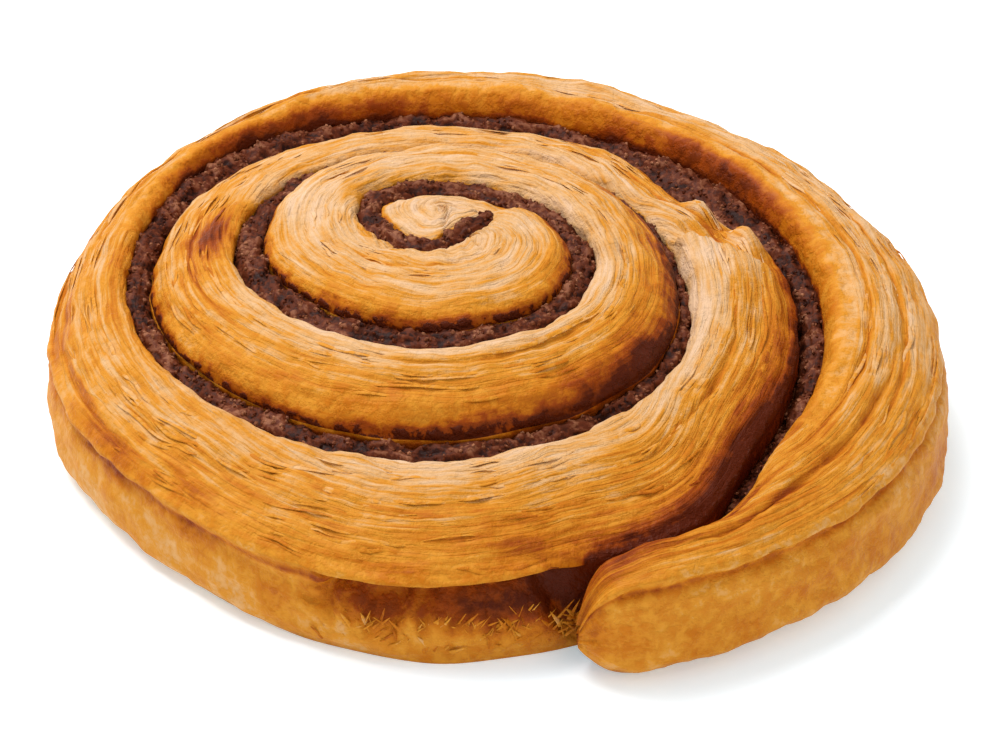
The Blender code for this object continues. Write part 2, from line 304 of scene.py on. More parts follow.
def ramp(low, high, x):
    """0 below low, 1 above high, smooth in between."""
    f = np.clip((x - low) / (high - low), 0.0, 1.0)
    return f * f * (3 - 2 * f)


def mix(a, b, share):
    return a + (b - a) * share


def at_seam(values, turn):
    return through(values, max(turn, 0.0) * 4)


def at_outer_wall(values, turn):
    return through(values, (turn - OUTER_WALL_FROM) * 8)


def bumps_along(bumps, turn):
    return sum(amount * math.exp(-((turn - middle) / half) ** 2) for middle, half, amount in bumps)


def seam_point(turn):
    angle = -2 * math.pi * turn
    far = through(SEAM_RADII, (turn - FIRST_RADIUS_TURN) * 8) + bumps_along(SEAM_BENDS, turn)
    return far * np.array((math.cos(angle), math.sin(angle)))


def along(turn):
    return (seam_point(turn + 0.004) - seam_point(turn - 0.004)) / 0.008


def outward(turn):
    way = along(turn)
    return np.array((-way[1], way[0])) / np.hypot(*way)


def opened(turn):
    return math.sqrt(ramp(SEAM_START, SEAM_START + SLOT_TAPER, turn))


def slot_half_width(turn):
    return opened(turn) * (0.5 * at_seam(FILLING_WIDTH, turn) + bumps_along(WIDE_PLACES, turn))


def outline_share(turn):
    return ramp(SEAM_END, SEAM_END + 0.020, turn)


def inner_edge(turn):
    return seam_point(turn - 1) + outward(turn - 1) * slot_half_width(turn - 1)


def outer_edge(turn):
    inset = mix(slot_half_width(turn), at_outer_wall(LIP_INSET, turn), outline_share(turn))
    return seam_point(turn) - outward(turn) * inset


def folds(turn, v, width):
    """The rise of the folds and torn ends over a section, and how deep in a fold each place is, 0 to 1."""
    height = np.zeros(len(v))
    depths = np.zeros(len(v))
    for start, end, shares, depth, half_width, step in FOLDS:
        if start < turn < end:
            f = (turn - start) / (end - start)
            away = (v - through(shares, f * (len(shares) - 1))) * width
            strength = ramp(0, 0.25, f) * ramp(0, 0.25, 1 - f)
            groove = np.exp(-(away / half_width) ** 2)
            stands = step * ramp(-half_width, half_width, away) * np.exp(-np.abs(away) / 3)
            height += strength * (stands - depth * groove)
            depths = np.maximum(depths, strength * groove)
    for start, slant, low, high, rise, length in TORN_ENDS:
        after = turn - start - slant * v
        window = ramp(low - 0.05, low + 0.05, v) * (1 - ramp(high - 0.05, high + 0.05, v))
        height += rise * window * ramp(0, 0.004, after) * np.exp(-np.maximum(after, 0) / length)
    return height, depths


def shoulder(distance, reach):
    f = 1 - np.minimum(distance / reach, 1.0)
    return 1 - np.sqrt(1 - f * f)


def unevenness(places):
    """The hand-made rise and fall of the top, with its flaps and dents."""
    height = np.array([WAVE * noise.noise(Vector((x * 0.09, y * 0.09, 7.0))) for x, y in places])
    for turn, far, half_length, half_width, lift in FLAPS:
        angle = -2 * math.pi * turn
        out = np.array((math.cos(angle), math.sin(angle)))
        offset = places - far * out
        along_flap = offset @ np.array((-out[1], out[0])) / half_length
        across_flap = offset @ out / half_width
        height += lift * np.exp(-along_flap ** 2 - across_flap ** 2)
    return height


def tail_share(turn):
    """How much of its width, height and both the dough keeps at its rounded end, and the lift of its foot."""
    left = max(TAIL_END - turn, 0.0) * np.hypot(*along(turn))
    roundness = math.sqrt(1 - (1 - min(left / TAIL_ROUNDING, 1.0)) ** 2)
    dome = math.sqrt(1 - (1 - min(left / TAIL_DOME, 1.0)) ** 2)
    lift = TAIL_LIFT * max(1 - left / TAIL_LIFT_REACH, 0.0) ** TAIL_LIFT_CURVE
    return mix(TAIL_BLUNTNESS, 1.0, roundness), mix(TAIL_TIP_HEIGHT, 1.0, roundness), dome, lift


def top_of(turn, inner, outer, inner_height):
    """The places and heights of the dough's top at a turn, from its inner to its outer edge."""
    width = np.hypot(*(outer - inner))
    share = ramp(3, 12, width)
    outline = outline_share(turn)
    open_in = opened(turn - 1) if inner_height is None else 0.0
    open_out = opened(turn)
    low_in = at_seam(FILLING_TOP, turn - 1) - EDGE_DROP
    high_in = at_seam(FILLING_TOP, turn - 1) + at_seam(RISE_OUTSIDE, turn - 1)
    low_out = at_seam(FILLING_TOP, turn) + at_seam(BARE_WALL, turn)
    low_out = mix(low_out, at_outer_wall(CREASE_HEIGHT, turn) + 1.0, outline)
    high_out = at_seam(FILLING_TOP, turn) + at_seam(RISE_INSIDE, turn)
    high_out = mix(high_out, at_outer_wall(RIM_HEIGHT, turn), outline)
    if inner_height is not None:
        high_in = inner_height
    reach_in = max(min(SHOULDER_REACH, 0.4 * width), 0.01)
    reach_out = max(min(mix(SHOULDER_REACH, 1.5 * SHOULDER, outline), 0.55 * width), 0.01)
    k = np.arange(TOP_STEPS + 1) / TOP_STEPS
    v = 0.55 * k + 0.45 * (0.5 - 0.5 * np.cos(math.pi * k))
    places = inner + (outer - inner) * v[:, None]
    arch = ARCH if inner_height is None else 0.35 * ARCH
    z = mix(high_in, high_out, 0.5 * v + 0.5 * ramp(0, 1, v)) + share * arch * 4 * v * (1 - v)
    z -= (z - low_in) * open_in * shoulder(v * width, reach_in)
    z -= (z - low_out) * open_out * shoulder((1 - v) * width, reach_out)
    return places, z + unevenness(places) + folds(turn, v, width)[0], v, width


def patches(places, turn, across):
    """The sum of the patches at a turn, over places or heights across it."""
    total = 0.0
    for at_turn, at_place, half_turn, half_place, amount in places:
        away = ((turn - at_turn) / half_turn) ** 2 + ((across - at_place) / half_place) ** 2
        total = total + amount * np.exp(-away)
    return total


def top_bake_and_shade(turn, v, width, seam_inside):
    """How brown the top is at a turn, from its inner to its outer edge; a few of its patches are painted
    shade.
    """
    outside = (1 - v) * width
    inside = v * width + (0.0 if seam_inside else 99.0)
    middle = at_seam(BAKE_MIDDLE, turn)
    near_outer = np.exp(-(outside / at_seam(OUTER_EDGE_REACH, turn)) ** 2)
    near_inner = np.exp(-(inside / at_seam(INNER_EDGE_REACH, turn)) ** 2)
    bake = middle + (at_seam(BAKE_OUTER_EDGE, turn) - middle) * near_outer
    bake = bake + (at_seam(BAKE_INNER_EDGE, turn) - middle) * near_inner
    return bake + patches(TOP_PATCHES, turn, v)


def syrup_on(turn, v, width, seam_inside, rise):
    """How near the filling's syrup the top is, from 0 to 1; rise is its height above the inner seam."""
    outside = (1 - v) * width + 99.0 * outline_share(turn)
    inside = v * width + (0.0 if seam_inside else 99.0)
    from_outer = np.exp(-outside / at_seam(SYRUP_REACH, turn))
    beside = at_seam(SYRUP_OUTSIDE, turn) * np.exp(-np.maximum(rise, 0.0) / at_seam(SYRUP_CLIMB, turn))
    return np.maximum(from_outer, np.minimum(beside, 1.0) * np.exp(-(inside / 3.2) ** 4))


def slot_levels(low):
    """Heights down a wall that faces a slot: close together near the top, where it shows."""
    k = np.arange(1, SLOT_STEPS + 1) / SLOT_STEPS
    return low * (1 - k ** 2.2)


def in_recess(turn, height):
    """How much a height of the outer side belongs to the torn recess in front: its end is ragged."""
    end = RECESS_END + 0.004 * np.sin(1.1 * height) + 0.002 * np.sin(2.9 * height)
    return 1 - ramp(end, end + 0.005, turn)


def crease_profile(turn, low, depth, spread, ragged):
    """The outer side from its shoulder down, with a crease of that depth: distances outward and heights."""
    crease = at_outer_wall(CREASE_HEIGHT, turn)
    k = np.arange(1, SIDE_STEPS + 1) / SIDE_STEPS * 5
    lip = at_outer_wall(LIP_INSET, turn)
    below = mix(lip - 0.4, -0.4 * depth, spread)
    wave = BASE_WAVE * noise.noise(Vector((turn * BASE_WAVES_PER_TURN, 1.0, 9.0)))
    foot = lip - at_outer_wall(BASE_INSET, turn) + wave
    out = through((0.0, -depth, below, lip, lip - 0.2, foot), k)
    under = mix(0.88, 0.74, spread) * crease + ragged
    height = through((low, crease, under, 0.5 * crease + ragged, 0.22 * crease, 0.0), k)
    return out, height


def side_profile(turn, low, ragged):
    """The outer side of the pastry, from its shoulder down, as distances outward and heights."""
    share = outline_share(turn)
    depth = at_outer_wall(CREASE_DEPTH, turn)
    plain = crease_profile(turn, low, depth, at_outer_wall(CREASE_SPREAD, turn), 0.0)
    torn = crease_profile(turn, low, RECESS_DEPTH, 1.0, ragged)
    inside = in_recess(turn, plain[1])
    out = mix(plain[0], torn[0], inside)
    height = mix(plain[1], torn[1], inside)
    slot = slot_levels(low)
    slot = np.concatenate([slot, np.full(SIDE_STEPS - SLOT_STEPS, slot[-1])])
    return mix(0.0, out, share), np.maximum(mix(slot, height, share), 0.0)


def coil_turns():
    """The turns of the sections, up to just before the tip, and how many of them fan round the core."""
    fan = np.linspace(SEAM_START, CORE_CUT_TURN, CORE_FAN_STEPS, endpoint=False)
    cut = np.linspace(CORE_CUT_TURN, SEAM_START + 1, TOP_STEPS, endpoint=False)
    turns = list(fan) + list(cut)
    first = len(turns)
    for start, end in ((SEAM_START + 1, SEAM_END), (SEAM_END, TAIL_END)):
        part = [start]
        while part[-1] < end - 1e-6:
            left = (TAIL_END - part[-1]) * np.hypot(*along(part[-1]))
            longest = RECESS_STATION_STEP if SEAM_END <= part[-1] < RECESS_END else STATION_STEP
            step = min(longest, max(TIP_STATION_STEP, left / 6))
            part.append(part[-1] + step / np.hypot(*along(part[-1])))
        scale = (end - start) / (part[-1] - start)
        part = [start + (turn - start) * scale for turn in part]
        turns += part if start < SEAM_END else part[1:]
    return turns[:-1], first


class Points:
    """Points of a piece under construction, in millimetres, with a column of values for each label."""

    def __init__(self, *labels):
        self.co = []
        self.columns = {label: [] for label in ("run", "across", *labels)}

    def add(self, places, heights, *values):
        """Adds points, with one value or one for each point to every column, and gives their numbers."""
        start = len(self.co)
        self.co += [(x, y, z) for (x, y), z in zip(places, heights)]
        for column, value in zip(self.columns.values(), values, strict=True):
            column += np.broadcast_to(value, len(heights)).tolist()
        return list(range(start, len(self.co)))


def rounded(turn, middle, places, heights):
    """Draws a section in towards its middle near the tail's end, where its foot also lifts off the tray."""
    keep_width, keep_height, dome, lift = tail_share(turn)
    places = middle + (places - middle) * keep_width * dome
    heights = heights * keep_height
    heights = heights + lift * np.clip(1 - heights / TAIL_LIFT_HEIGHT, 0.0, 1.0)
    if dome < 1:
        heights = TAIL_MIDDLE_HEIGHT + (heights - TAIL_MIDDLE_HEIGHT) * dome
    return places, heights


def top_relief(turn, v, width, run, seam_inside):
    """How strongly the layers stand out on the top, from 0 to 1."""
    outside = (1 - v) * width
    relief = np.minimum(1.0, np.minimum(outside * 0.5 + 0.25, v * width * 0.6 + 0.2))
    relief = relief * ramp(0.0, 2.5, run + (0.0 if seam_inside else 0.4 * v * width))
    bend = np.exp(-(outside / at_seam(OUTER_EDGE_REACH, turn)) ** 2)
    relief = relief * (1 - at_seam(SMOOTH_BEND, turn) * bend)
    if ROLL_START < turn < ROLL_END:
        relief = relief * (0.2 + 0.8 * ramp(ROLL_SHARE - 0.1, ROLL_SHARE, v))
    return relief


def dough_points():
    """All points of the dough, and rows of their numbers: over the top, down the outer and the inner side."""
    # The bake values carry the crust's browning, and also painted shade in folds, creases and the deep slot
    # before the tail.
    points = Points("bake", "relief", "syrup")
    turns, first = coil_turns()
    tops, sides, inners = [], [], []
    run = 0.0
    for k, turn in enumerate(turns):
        if k:
            run += np.hypot(*(seam_point(turn) - seam_point(turns[k - 1])))
        round_core = 0 < k <= first
        seam_inside = k > first
        if seam_inside:
            inner, height = inner_edge(turn), None
        elif round_core:
            shared = tops[0][max(0, k - first + TOP_STEPS)]
            inner = np.array(points.co[shared][:2])
            height = points.co[shared][2] - unevenness(inner[None])[0]
        else:
            inner, height = CORE, FILLING_TOP[0] + RISE_INSIDE[0]
        places, z, v, width = top_of(turn, inner, outer_edge(turn), height)
        middle = 0.5 * (places[0] + places[-1])
        # The grooves of the folds are painted darker here: painted shade.
        bake = top_bake_and_shade(turn, v, width, seam_inside) + FOLD_SHADE * folds(turn, v, width)[1]
        relief = top_relief(turn, v, width, run, seam_inside)
        syrup = syrup_on(turn, v, width, seam_inside, z - at_seam(FILLING_TOP, turn - 1))
        at, heights = rounded(turn, middle, places, z)
        new = slice(int(round_core), None)
        row = [shared] if round_core else []
        distance = (1 - v) * width
        row += points.add(at[new], heights[new], run, distance[new], bake[new], relief[new], syrup[new])
        tops.append(row)

        share = outline_share(turn)
        ragged = RAGGEDNESS * noise.noise(Vector((run * RAGGED_PER_MM, 5.0, 0.0)))
        out, side_z = side_profile(turn, z[-1], ragged)
        across = (places[-1] - places[0]) / max(width, 1e-9)
        at, heights = rounded(turn, middle, places[-1] + across * out[:, None], side_z)
        down = z[-1] - side_z
        wall_bake_and_shade = mix(bake[-1], at_seam(BAKE_OUTER_WALL, turn), ramp(0, mix(0.8, 3.0, share), down))
        crease = np.exp(-((side_z - at_outer_wall(CREASE_HEIGHT, turn)) / 0.5) ** 2)
        # The crease on the outer side is painted darker here: painted shade. Some side patches paint the
        # shadow of the tail and of the deep slot.
        wall_bake_and_shade = wall_bake_and_shade + patches(SIDE_PATCHES, turn, side_z - ragged) + share * FOLD_SHADE * crease
        wall_relief = mix(0.2 * np.exp(-down / 3), 0.24 * ramp(0, 1.2, side_z), share)
        part = slice(SLOT_STEPS if share == 0 else None)
        wall = points.add(at[part], heights[part], run, -down[part], wall_bake_and_shade[part], wall_relief[part], 0.0)
        sides.append([row[-1]] + wall + [wall[-1]] * (SIDE_STEPS - len(wall)))

        if k == first:
            inners.append([row[0]] + sides[0][1:SLOT_STEPS + 1])
        elif seam_inside:
            levels = slot_levels(z[0])
            at, heights = rounded(turn, middle, np.repeat(places[:1], SLOT_STEPS, axis=0), levels)
            down = z[0] - levels
            wall_bake_and_shade = mix(bake[0], at_seam(BAKE_INNER_WALL, turn), ramp(0, 2, down))
            wall = points.add(at, heights, run, width + down, wall_bake_and_shade, 0.3 * np.exp(-down / 3), 0.0)
            inners.append([row[0]] + wall)
    return points, turns, first, tops, sides, inners


def faces_between(rows):
    """Faces between neighbouring rows of points, leaving out corners that fall together."""
    faces = []
    for near, far in zip(rows, rows[1:]):
        for a, b, c, d in zip(near, near[1:], far[1:], far):
            corners = list(dict.fromkeys((a, b, c, d)))
            if len(corners) > 2:
                faces.append(corners)
    return faces


def clockwise(faces):
    return [face[::-1] for face in faces]


def new_piece(name, points, edges, faces):
    """A mesh object from points round the coil's middle, in metres in the frame, with their values."""
    co = np.array(points.co)
    co[:, :2] += COIL_MIDDLE
    mesh = bpy.data.meshes.new(name)
    mesh.from_pydata((co * 0.001).tolist(), edges, faces)
    for label, column in points.columns.items():
        mesh.attributes.new(label, "FLOAT", "POINT").data.foreach_set("value", np.array(column, np.float32))
    mesh.shade_smooth()
    mesh.validate()
    piece = bpy.data.objects.new(name, mesh)
    bpy.context.scene.collection.objects.link(piece)
    return piece


class Value:
    """An output in a node tree; arithmetic on it adds Math nodes."""

    def __init__(self, tree, socket):
        self.tree = tree
        self.socket = socket

    def __add__(self, other):
        return self.tree.math("ADD", self, other)

    def __sub__(self, other):
        return self.tree.math("SUBTRACT", self, other)

    def __rsub__(self, other):
        return self.tree.math("SUBTRACT", other, self)

    def __mul__(self, other):
        return self.tree.math("MULTIPLY", self, other)

    def __truediv__(self, other):
        return self.tree.math("DIVIDE", self, other)

    def __rtruediv__(self, other):
        return self.tree.math("DIVIDE", other, self)

    __radd__ = __add__
    __rmul__ = __mul__


class Tree:
    """Builds a node tree: one method for every node, and short ones for what is used often."""

    def __init__(self, nodes):
        self.nodes = nodes
        self.links = nodes.id_data.links

    def add(self, kind, settings=None, inputs=None, output=0):
        """Adds a node of a type, sets its settings and then its inputs, and gives one of its outputs."""
        node = self.nodes.new(kind)
        for setting, value in (settings or {}).items():
            if setting == "stops":
                self.set_stops(node.color_ramp, value)
            else:
                setattr(node, setting, value)
        self.set_inputs(node, inputs or {})
        return Value(self, node.outputs[output]) if node.outputs else None

    def set_inputs(self, node, inputs):
        """Sets or links a node's sockets, given by number, identifier or name."""
        for key, value in inputs.items():
            socket = self.input_of(node, key)
            if isinstance(value, Value):
                self.links.new(value.socket, socket)
            else:
                socket.default_value = value

    @staticmethod
    def input_of(node, key):
        if isinstance(key, int):
            return node.inputs[key]
        for socket in node.inputs:
            if socket.identifier == key:
                return socket
        return next(socket for socket in node.inputs if socket.name == key and socket.enabled)

    @staticmethod
    def set_stops(colours, stops):
        while len(colours.elements) < len(stops):
            colours.elements.new(1.0)
        for element, (place, colour) in zip(colours.elements, stops):
            element.position = place
            element.color = (*colour, 1.0)

    def math(self, operation, *operands):
        return self.add("ShaderNodeMath", {"operation": operation}, dict(enumerate(operands)))

    def vector(self, x, y, z):
        return self.add("ShaderNodeCombineXYZ", None, {0: x, 1: y, 2: z})

    def noise(self, place, scale, detail=2.0, roughness=0.5):
        """Noise from 0 to 1."""
        return self.add("ShaderNodeTexNoise", None, {
            "Vector": place, "Scale": scale, "Detail": detail, "Roughness": roughness,
        })

    def drawn_out(self, run, across, shift, detail=2.0, roughness=0.5):
        """Noise by the way along and across the strip, which are scaled apart to draw it out."""
        return self.noise(self.vector(run, across, shift), 1.0, detail, roughness)

    def smooth(self, value, low, high, to_low=0.0, to_high=1.0):
        """to_low below low, to_high above high, smooth in between."""
        return self.add("ShaderNodeMapRange", {"interpolation_type": "SMOOTHSTEP"}, {
            "Value": value, "From Min": low, "From Max": high, "To Min": to_low, "To Max": to_high,
        })

    def attributes(self, *names):
        """Stored values of the mesh, in a material."""
        return [self.add("ShaderNodeAttribute", {"attribute_name": name}, None, "Fac") for name in names]


class GeometryTree(Tree):
    """A geometry tree with named inputs, and the steps that the pieces share."""

    def __init__(self, name, inputs):
        self.group = bpy.data.node_groups.new(name, "GeometryNodeTree")
        super().__init__(self.group.nodes)
        self.sockets = {}
        for label, kind in (("Geometry", "Geometry"), *inputs):
            self.sockets[label] = self.group.interface.new_socket(
                label, in_out="INPUT", socket_type=f"NodeSocket{kind}")
        self.group.interface.new_socket("Geometry", in_out="OUTPUT", socket_type="NodeSocketGeometry")
        entry = self.add("NodeGroupInput").socket.node
        self.given = {label: Value(self, entry.outputs[label]) for label in self.sockets}

    def named(self, name):
        """A stored value of the mesh."""
        return self.add("GeometryNodeInputNamedAttribute", {"data_type": "FLOAT"}, {"Name": name})

    def stored(self, geometry, name, value, domain="POINT"):
        """Keeps a value on the geometry, for its material."""
        return self.add("GeometryNodeStoreNamedAttribute", {"data_type": "FLOAT", "domain": domain}, {
            "Geometry": geometry, "Name": name, "Value": value,
        })

    def above(self, value, limit):
        settings = {"data_type": "FLOAT", "operation": "GREATER_THAN"}
        return self.add("FunctionNodeCompare", settings, {"A": value, "B": limit})

    def scaled(self, vector, factor):
        return self.add("ShaderNodeVectorMath", {"operation": "SCALE"}, {0: vector, "Scale": factor})

    def raised(self, geometry, height):
        """Moves every point along its normal."""
        offset = self.scaled(self.add("GeometryNodeInputNormal"), height)
        return self.add("GeometryNodeSetPosition", None, {"Geometry": geometry, "Offset": offset})

    def end(self, geometry, *finishes):
        """Ends the tree with real geometry, and each finish in turn on the faces that it is for."""
        geometry = self.add("GeometryNodeRealizeInstances", None, {"Geometry": geometry})
        for finish, faces in finishes:
            geometry = self.add("GeometryNodeSetMaterial", None, {
                "Geometry": geometry, "Selection": faces, "Material": self.given[finish],
            })
        self.add("NodeGroupOutput", None, {0: geometry})


def made_by(tree, piece, values):
    """Runs a geometry tree on the piece and keeps the result as its plain mesh, within the solids' box."""
    before = piece.data
    modifier = piece.modifiers.new(tree.group.name, "NODES")
    modifier.node_group = tree.group
    for label, value in values.items():
        modifier[tree.sockets[label].identifier] = value
    bpy.context.view_layer.update()
    graph = bpy.context.evaluated_depsgraph_get()
    result = bpy.data.meshes.new_from_object(piece.evaluated_get(graph), depsgraph=graph)
    if not result.polygons:
        raise RuntimeError(f"{piece.name} has no faces")
    piece.modifiers.remove(modifier)
    piece.data = result
    bpy.data.meshes.remove(before)
    result.name = piece.name
    keep_in_cad_box(piece)
    return piece


def keep_in_cad_box(piece):
    """Holds every point within the solids' box."""
    low, high = (np.array(corner) for corner in CAD_BOX)
    co = np.empty(len(piece.data.vertices) * 3, np.float32)
    piece.data.vertices.foreach_get("co", co)
    co = np.clip(co.reshape(-1, 3), low, high)
    piece.data.vertices.foreach_set("co", co.ravel())
    piece.data.update()


def material(name):
    """A new material and the tree builder and shader of it."""
    made = bpy.data.materials.new(name)
    made.use_nodes = True
    nodes = made.node_tree.nodes
    return made, Tree(nodes), nodes["Principled BSDF"]


def lamination_tree():
    """Terraces of thin layers along the coil, with fibres and soft lumps, raised along the surface."""
    tree = GeometryTree("Lamination", (
        ("Layer pitch", "Float"),
        ("Layer height", "Float"),
        ("Fibre height", "Float"),
        ("Lump height", "Float"),
        ("Crust", "Material"),
        ("Underside", "Material"),
    ))
    given = tree.given
    run = tree.named("run")
    across = tree.named("across")
    relief = tree.named("relief")
    drift = tree.drawn_out(run * 0.06, across * 0.16, 1.7, 1.0) - 0.5
    wobble = tree.drawn_out(run * 0.13, across * 0.6, 5.3) - 0.5
    step = tree.math("FRACT", across / given["Layer pitch"] + drift * 3.0 + wobble * 1.3)
    strength = tree.smooth(tree.drawn_out(run * 0.08, across * 0.55, 9.1), 0.34, 0.66, 0.1, 1.0)
    terrace = step * tree.smooth(step, 0.52, 1.0, 1.0, 0.0) * strength
    fibre = tree.drawn_out(run * 0.18, across * 2.6, 2.2, 3.0, 0.6) - 0.5
    lump = tree.drawn_out(run * 0.16, across * 0.3, 12.0) - 0.5
    height = (terrace * given["Layer height"] + fibre * given["Fibre height"]) * relief
    height = height + lump * given["Lump height"] * tree.smooth(relief, 0.0, 0.2)
    dough = tree.raised(tree.stored(given["Geometry"], "terrace", terrace), height)
    tree.end(dough, ("Crust", True), ("Underside", tree.above(tree.named("under"), 0.5)))
    return tree


def crust_material(settings):
    """Baked laminated dough: cream in the folds, gold on the layers, brown from the heat or the syrup, with
    painted shade in folds, creases and the deep slot, and painted highlights on the layers' lips.
    """
    made, tree, shader = material("baked_dough")
    run, across, bake, terrace, relief, syrup = tree.attributes(
        "run", "across", "bake", "terrace", "relief", "syrup")
    place = tree.add("ShaderNodeTexCoord", output="Object")
    fibrous = tree.smooth(relief, 0.1, 0.9)
    streak = tree.smooth(tree.drawn_out(run * 0.07, across * 0.9, 3.1, 3.0, 0.6), 0.3, 0.7) - 0.5
    thread = tree.smooth(tree.drawn_out(run * 0.11, across * 2.4, 8.4, 3.0, 0.6), 0.3, 0.7) - 0.5
    blotch = tree.smooth(tree.noise(place, 190.0, 4.0, 0.6), 0.3, 0.7) - 0.5
    mottle = tree.smooth(tree.noise(place, 620.0, 4.0, 0.65), 0.34, 0.66) - 0.5
    patch = tree.noise(place, 50.0) - 0.5
    wander = tree.drawn_out(run * 0.09, across * 0.3, 6.6) * 2.5
    line = tree.math("FRACT", across / 0.8 + wander)
    line = tree.smooth(line, 0.5, 0.9) * tree.smooth(line, 0.9, 1.0, 1.0, 0.0)
    line = line * tree.smooth(tree.drawn_out(run * 0.09, across * 0.9, 2.8), 0.42, 0.62)
    stain = tree.smooth(syrup + blotch * 0.3 + thread * 0.15, 0.30, 0.85)
    smear = tree.smooth(syrup + mottle * 0.30 + blotch * 0.25, 0.80, 1.0)
    # The terraces paint each layer's lip paler, a painted highlight, and the foot of its step darker, painted
    # shade.
    tone = bake + (streak * 0.20 + thread * 0.17 - (terrace - 0.25) * 0.18 + line * 0.06) * fibrous
    tone = tone + blotch * (0.14 - fibrous * 0.04) + mottle * (0.14 - fibrous * 0.09) + patch * 0.20
    tone = tone + stain * 0.32 + smear * 0.45
    fine = tree.drawn_out(run * 0.7, across * 9.0, 4.0, 3.0, 0.6)
    fibres = (fine * 0.4 + thread * 0.4 + streak * 0.3 - line * 0.4) * fibrous
    pores = tree.noise(place, 900.0) * 0.25 + mottle * (0.6 + smear * 1.4)
    tree.set_inputs(shader, {
        "Base Color": tree.add("ShaderNodeValToRGB", {"stops": (
            (0.00, settings.pale_dough),
            (0.20, settings.light_dough),
            (0.38, settings.golden_dough),
            (0.56, settings.amber_dough),
            (0.76, settings.brown_dough),
            (1.00, settings.dark_dough),
        )}, {0: tone}),
        "Roughness": 0.60 - tree.smooth(tone, 0.2, 0.8) * 0.16 + thread * 0.1,
        "Normal": tree.add("ShaderNodeBump", None, {
            "Strength": 0.7, "Distance": 0.0004, "Height": fibres + pores,
        }),
        "Coat Weight": 0.03,
        "Coat Roughness": 0.3,
        "Specular IOR Level": 0.07,
    })
    return made


def underside_material(settings):
    """The flat base, browned evenly by the tray."""
    made, tree, shader = material("baked_underside")
    place = tree.add("ShaderNodeTexCoord", output="Object")
    cloud = tree.noise(place, 60.0, 4.0, 0.6)
    speck = tree.noise(place, 420.0, 3.0, 0.6)
    tree.set_inputs(shader, {
        "Base Color": tree.add("ShaderNodeValToRGB", {"stops": (
            (0.25, settings.golden_dough),
            (0.50, settings.amber_dough),
            (0.72, settings.brown_dough),
        )}, {0: cloud * 0.7 + speck * 0.3}),
        "Roughness": 0.6,
        "Normal": tree.add("ShaderNodeBump", None, {
            "Strength": 0.5, "Distance": 0.0003, "Height": speck + cloud * 0.5,
        }),
    })
    return made


def make_dough(settings):
    points, turns, first, tops, sides, inners = dough_points()
    faces = clockwise(faces_between(tops) + faces_between(sides)) + faces_between(inners)
    flat = next(k for k, turn in enumerate(turns) if tail_share(turn)[3] > 0) - 1
    outer_feet = [row[-1] for row in sides]
    inner_feet = {k: row[-1] for k, row in enumerate(inners, first)}
    tip = len(turns) - 1
    for k in range(flat, tip):
        faces.append([outer_feet[k], outer_feet[k + 1], inner_feet[k + 1], inner_feet[k]])
    faces.append((tops[tip] + sides[tip][1:] + inners[tip - first][:0:-1])[::-1])
    faces.append(outer_feet[:flat + 1] + [inner_feet[k] for k in range(flat, first, -1)])
    piece = new_piece("laminated_dough", points, [], faces)
    under = piece.data.attributes.new("under", "FLOAT", "FACE")
    under.data[len(faces) - 1].value = 1.0
    return made_by(lamination_tree(), piece, {
        "Layer pitch": settings.layer_pitch * 1000,
        "Layer height": settings.layer_height,
        "Fibre height": settings.fibre_height,
        "Lump height": settings.lump_height,
        "Crust": crust_material(settings),
        "Underside": underside_material(settings),
    })


def filling_points():
    """The filling's points and rows of them, each row once round the strip."""
    points = Points("relief")
    rows = []
    run = 0.0
    turns = [FILLING_START]
    while turns[-1] < FILLING_END:
        turns.append(turns[-1] + 0.7 / np.hypot(*along(turns[-1])))
    turns[-1] = FILLING_END
    for k, turn in enumerate(turns):
        if k:
            run += np.hypot(*(seam_point(turn) - seam_point(turns[k - 1])))
        left = min(turn - FILLING_START, FILLING_END - turn) * np.hypot(*along(turn))
        roundness = math.sqrt(max(1 - (1 - min(left / 1.6, 1.0)) ** 2, 0.01))
        width = max(opened(turn), FILLING_END_WIDTH) * at_seam(FILLING_WIDTH, turn)
        width += 2 * bumps_along(WIDE_PLACES, turn)
        wander = noise.noise(Vector((0.16 * run, 3.7, 0.0)))
        wander += 0.6 * noise.noise(Vector((0.5 * run, 8.1, 0.0)))
        half = (0.5 * width + FILLING_OVERHANG) * mix(0.3, 1.0, roundness) * (1 + 0.16 * wander)
        top = at_seam(FILLING_TOP, turn) + at_seam(FILLING_LIFT, turn) - 0.6 + 0.6 * roundness + 0.45 * wander
        tilt = 0.5 * at_seam(FILLING_TILT, turn)
        x = np.concatenate([[-1.0, -1.0], np.linspace(-1.0, 1.0, 19), [1.0, 1.0]])
        crown = top + tilt * x[2:-2] - 1.5 * np.abs(x[2:-2]) ** 3
        z = np.concatenate([[0.3, 0.5 * top], crown, [0.5 * top, 0.3]])
        places = seam_point(turn) + outward(turn) * (x * half)[:, None]
        relief = np.concatenate([[0.0, 0.0], np.ones(19), [0.0, 0.0]])
        rows.append(points.add(places, z, run, x * half, relief))
    return points, rows


